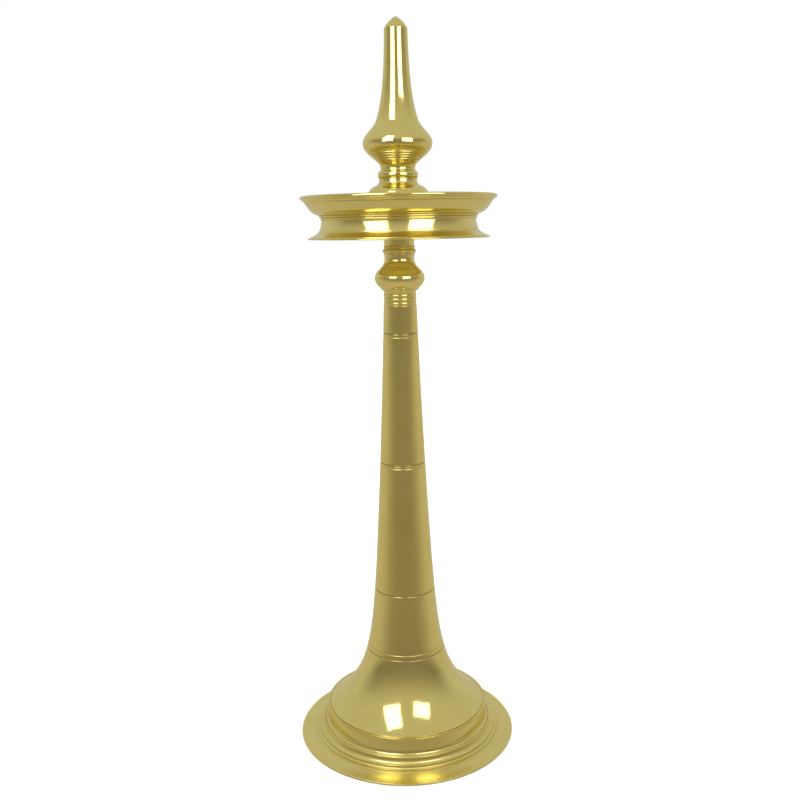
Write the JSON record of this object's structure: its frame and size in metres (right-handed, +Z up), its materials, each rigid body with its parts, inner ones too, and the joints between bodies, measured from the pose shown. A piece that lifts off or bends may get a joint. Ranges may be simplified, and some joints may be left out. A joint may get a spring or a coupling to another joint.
{
  "type": "standing oil lamp",
  "caption": "Tall brass standing oil lamp: stepped round base, trumpet bell foot, tapering stem with a knop, round oil pan and spired finial, in hollow castings that screw together.",
  "frame": {"origin": "centre of the base's underside, on the surface the lamp stands on", "axes": "+Z up along the lamp's axis; +X to the right seen from the front, -Y towards the viewer; the lamp is round"},
  "size_m": [0.285, 0.285, 0.914],
  "materials": {
    "polished_brass": "hand polished, bright with fine lathe lines",
    "thread_brass": "turned, unpolished",
    "packing": "matte black packing ring",
    "screw_steel": "zinc plated"
  },
  "bodies": {
    "foot": {"base_plate": "polished_brass", "base_screws": "screw_steel", "bell_foot": "polished_brass", "bell_nipple": "thread_brass"},
    "root_washer": {"root_washer": "packing"},
    "stem_root": {"stem_root": "polished_brass", "root_nipple": "thread_brass"},
    "lower_washer": {"lower_washer": "packing"},
    "stem_lower": {"stem_lower": "polished_brass", "lower_nipple": "thread_brass"},
    "upper_washer": {"upper_washer": "packing"},
    "stem_upper": {"stem_upper": "polished_brass", "upper_nipple": "thread_brass"},
    "collar_washer": {"collar_washer": "packing"},
    "knop_collar": {"knop_collar": "polished_brass", "collar_nipple": "thread_brass"},
    "pan_washer": {"pan_washer": "packing"},
    "oil_pan": {"oil_pan": "polished_brass", "pan_nipple": "thread_brass"},
    "finial_washer": {"finial_washer": "packing"},
    "finial": {"finial": "polished_brass"}
  },
  "joints": [
    {"name": "stem_root_rise", "type": "slide", "parent": "foot", "child": "root_washer", "axis": [0, 0, 1], "range_m": [0, 0.015]},
    {"name": "stem_root_unscrew", "type": "hinge", "parent": "root_washer", "child": "stem_root", "pos_m": [0, 0, 0.1185], "axis": [0, 0, 1], "range_deg": [0, 1800]},
    {"name": "stem_lower_rise", "type": "slide", "parent": "stem_root", "child": "lower_washer", "axis": [0, 0, 1], "range_m": [0, 0.015]},
    {"name": "stem_lower_unscrew", "type": "hinge", "parent": "lower_washer", "child": "stem_lower", "pos_m": [0, 0, 0.201], "axis": [0, 0, 1], "range_deg": [0, 1800]},
    {"name": "stem_upper_rise", "type": "slide", "parent": "stem_lower", "child": "upper_washer", "axis": [0, 0, 1], "range_m": [0, 0.015]},
    {"name": "stem_upper_unscrew", "type": "hinge", "parent": "upper_washer", "child": "stem_upper", "pos_m": [0, 0, 0.372], "axis": [0, 0, 1], "range_deg": [0, 1800]},
    {"name": "knop_collar_rise", "type": "slide", "parent": "stem_upper", "child": "collar_washer", "axis": [0, 0, 1], "range_m": [0, 0.015]},
    {"name": "knop_collar_unscrew", "type": "hinge", "parent": "collar_washer", "child": "knop_collar", "pos_m": [0, 0, 0.539], "axis": [0, 0, 1], "range_deg": [0, 1800]},
    {"name": "oil_pan_rise", "type": "slide", "parent": "knop_collar", "child": "pan_washer", "axis": [0, 0, 1], "range_m": [0, 0.015]},
    {"name": "oil_pan_unscrew", "type": "hinge", "parent": "pan_washer", "child": "oil_pan", "pos_m": [0, 0, 0.668], "axis": [0, 0, 1], "range_deg": [0, 1800]},
    {"name": "finial_rise", "type": "slide", "parent": "oil_pan", "child": "finial_washer", "axis": [0, 0, 1], "range_m": [0, 0.015]},
    {"name": "finial_unscrew", "type": "hinge", "parent": "finial_washer", "child": "finial", "pos_m": [0, 0, 0.703], "axis": [0, 0, 1], "range_deg": [0, 1800]}
  ],
  "couplings": [
    {"joint": "stem_root_rise", "follows": "stem_root_unscrew", "m_per_rad": 0.00047746},
    {"joint": "stem_lower_rise", "follows": "stem_lower_unscrew", "m_per_rad": 0.00047746},
    {"joint": "stem_upper_rise", "follows": "stem_upper_unscrew", "m_per_rad": 0.00047746},
    {"joint": "knop_collar_rise", "follows": "knop_collar_unscrew", "m_per_rad": 0.00047746},
    {"joint": "oil_pan_rise", "follows": "oil_pan_unscrew", "m_per_rad": 0.00047746},
    {"joint": "finial_rise", "follows": "finial_unscrew", "m_per_rad": 0.00047746}
  ]
}
